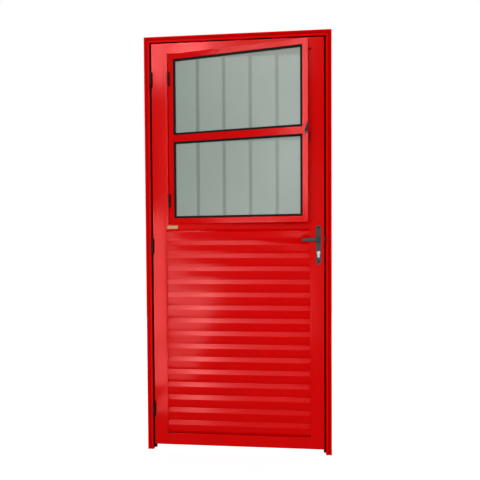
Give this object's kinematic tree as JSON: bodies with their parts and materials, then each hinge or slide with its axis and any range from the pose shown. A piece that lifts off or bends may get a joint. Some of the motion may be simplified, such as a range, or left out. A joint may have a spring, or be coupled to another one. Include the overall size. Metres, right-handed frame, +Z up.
{
  "type": "aluminium entry door with glazed opening sash",
  "caption": "Powder-coated aluminium entry door in its frame, with a slatted lower panel, a side-hung glazed sash ajar before a fixed bar grille, and lever handles.",
  "frame": {"origin": "middle of the doorway at floor level, in the front plane of the frame", "axes": "+X across the width towards the lock side, +Y into the depth of the frame, +Z up; the side it opens towards faces -Y"},
  "size_m": [0.94, 0.2363, 2.1],
  "materials": {
    "red_coat": "satin red powder coating on extruded aluminium",
    "black_coat": "black coated hinge and strike metal",
    "seal_rubber": "black rubber profile",
    "frosted_glass": "frosted rolled glass",
    "handle_coat": "dark grey coated handle metal",
    "satin_nickel": "satin nickel",
    "plain_steel": "zinc plated steel",
    "cast_cleat": "bare cast aluminium",
    "latch_grey": "grey die-cast metal",
    "latch_dark": "dark grey coated lever"
  },
  "bodies": {
    "frame": {"jamb_hinge": "red_coat", "jamb_lock": "red_coat", "head": "red_coat", "frame_seals": "seal_rubber", "frame_corner_cleats": "cast_cleat", "strike_plate": "black_coat", "hinge_frame_leaves": "black_coat", "hinge_pins": "black_coat", "frame_screws": "plain_steel"},
    "leaf": {"leaf_stile_hinge": "red_coat", "leaf_stile_lock": "red_coat", "leaf_rail_top": "red_coat", "leaf_rail_lock": "red_coat", "leaf_rail_bottom": "red_coat", "rail_cleats": "cast_cleat", "board_beads": "red_coat", "boards_1_to_4": "red_coat", "boards_5_to_8": "red_coat", "boards_9_to_12": "red_coat", "boards_13_to_16": "red_coat", "sash_hinge_strip": "red_coat", "stop_left": "red_coat", "stop_right": "red_coat", "stop_top": "red_coat", "stop_bottom": "red_coat", "grille_bars": "red_coat", "grille_crossbar": "red_coat", "sash_keeper": "red_coat", "leaf_screws": "plain_steel", "hinge_door_leaves": "black_coat", "sash_hinge_strip_leaves": "black_coat", "lock_case": "plain_steel", "lock_faceplate": "plain_steel", "cylinder_body": "satin_nickel", "backplate_inner": "handle_coat", "backplate_outer": "handle_coat", "handle_screws": "handle_coat"},
    "lever": {"lever_inner": "handle_coat", "lever_outer": "handle_coat", "lever_spindle": "plain_steel"},
    "latch": {"latch_bolt": "plain_steel"},
    "deadbolt": {"dead_bolt": "plain_steel"},
    "plug": {"cylinder_plug": "satin_nickel"},
    "sash": {"sash_stile_hinge": "red_coat", "sash_stile_free": "red_coat", "sash_rail_top": "red_coat", "sash_rail_mid": "red_coat", "sash_rail_bottom": "red_coat", "sash_glass": "frosted_glass", "sash_gaskets": "seal_rubber", "sash_hinge_leaves": "black_coat", "sash_latch_body": "latch_grey"},
    "sash_lever": {"sash_latch_lever": "latch_dark"}
  },
  "joints": [
    {"name": "leaf_hinge", "type": "hinge", "parent": "frame", "child": "leaf", "pos_m": [-0.4345, -0.003, 1.05], "axis": [0, 0, -1], "range_deg": [0, 110]},
    {"name": "sash_hinge", "type": "hinge", "parent": "leaf", "child": "sash", "pos_m": [-0.345, -0.0015, 1.585], "axis": [0, 0, -1], "range_deg": [-11.2, 78.8]},
    {"name": "lever_turn", "type": "hinge", "parent": "leaf", "child": "lever", "pos_m": [0.4055, 0.0175, 1.0755], "axis": [0, -1, 0], "range_deg": [0, 40], "stiffness_Nm_per_rad": 0.9, "springref_deg": -28.65},
    {"name": "latch_slide", "type": "slide", "parent": "leaf", "child": "latch", "axis": [-1, 0, 0], "range_m": [0, 0.0115]},
    {"name": "plug_turn", "type": "hinge", "parent": "leaf", "child": "plug", "pos_m": [0.4055, 0.0175, 1.0105], "axis": [0, -1, 0], "range_deg": [0, 360]},
    {"name": "deadbolt_slide", "type": "slide", "parent": "leaf", "child": "deadbolt", "axis": [1, 0, 0], "range_m": [0, 0.02]},
    {"name": "sash_latch_turn", "type": "hinge", "parent": "sash", "child": "sash_lever", "pos_m": [0.34755, -0.13863, 1.5855], "axis": [-0.1942, -0.981, 0], "range_deg": [0, 90]}
  ],
  "couplings": [
    {"joint": "latch_slide", "follows": "lever_turn", "m_per_rad": 0.01647},
    {"joint": "plug_turn", "follows": "deadbolt_slide", "rad_per_m": 314.15}
  ]
}
